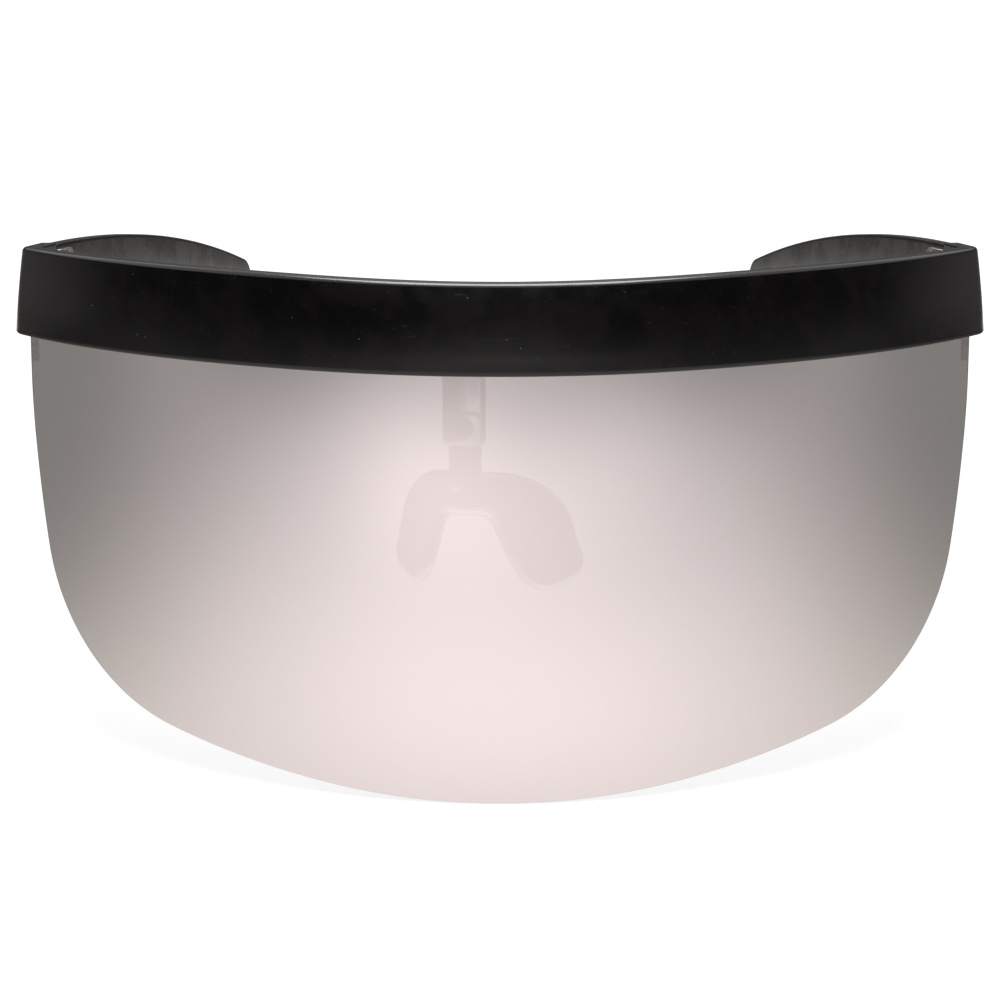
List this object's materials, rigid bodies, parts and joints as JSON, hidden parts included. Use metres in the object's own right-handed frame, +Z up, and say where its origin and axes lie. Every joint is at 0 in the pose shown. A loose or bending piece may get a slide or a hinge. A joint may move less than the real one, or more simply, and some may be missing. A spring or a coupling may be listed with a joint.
{
  "type": "shield sunglasses",
  "caption": "Wraparound shield sunglasses: one tall mirrored lens under a black flat-topped brow bar, a clear nose piece behind it and two folding arms.",
  "frame": {"origin": "in the middle of the whole, arms open, in X and Y, and level with the lens's lowest point in Z", "axes": "+X to the wearer's left, +Y from the lens back along the arms, +Z up; the lens faces -Y"},
  "size_m": [0.1726, 0.1906, 0.0858],
  "materials": {
    "black_plastic": "black moulded plastic with a satin gloss",
    "mirror_lens": "silver mirror coat, faintly pink, on a smoke grey lens",
    "clear_plastic": "clear moulded plastic",
    "hinge_metal": "drawn nickel-silver strip",
    "screw_metal": "bright plated steel"
  },
  "bodies": {
    "front": {"brow_bar": "black_plastic", "shield_lens": "mirror_lens", "lens_screws": "screw_metal", "nose_stem": "clear_plastic", "stem_screws": "screw_metal", "nose_saddle": "clear_plastic", "saddle_rivet": "screw_metal", "left_front_hinge": "hinge_metal", "left_front_hinge_screws": "screw_metal", "left_hinge_screw": "screw_metal", "right_front_hinge": "hinge_metal", "right_front_hinge_screws": "screw_metal", "right_hinge_screw": "screw_metal"},
    "left_arm": {"left_temple": "black_plastic", "left_temple_hinge": "hinge_metal", "left_temple_hinge_screws": "screw_metal"},
    "right_arm": {"right_temple": "black_plastic", "right_temple_hinge": "hinge_metal", "right_temple_hinge_screws": "screw_metal"}
  },
  "joints": [
    {"name": "left_arm_fold", "type": "hinge", "parent": "front", "child": "left_arm", "pos_m": [0.07905, -0.03102, 0.0785], "axis": [0, 0, 1], "range_deg": [0, 82]},
    {"name": "right_arm_fold", "type": "hinge", "parent": "front", "child": "right_arm", "pos_m": [-0.07905, -0.03102, 0.0785], "axis": [0, 0, -1], "range_deg": [0, 76]}
  ]
}
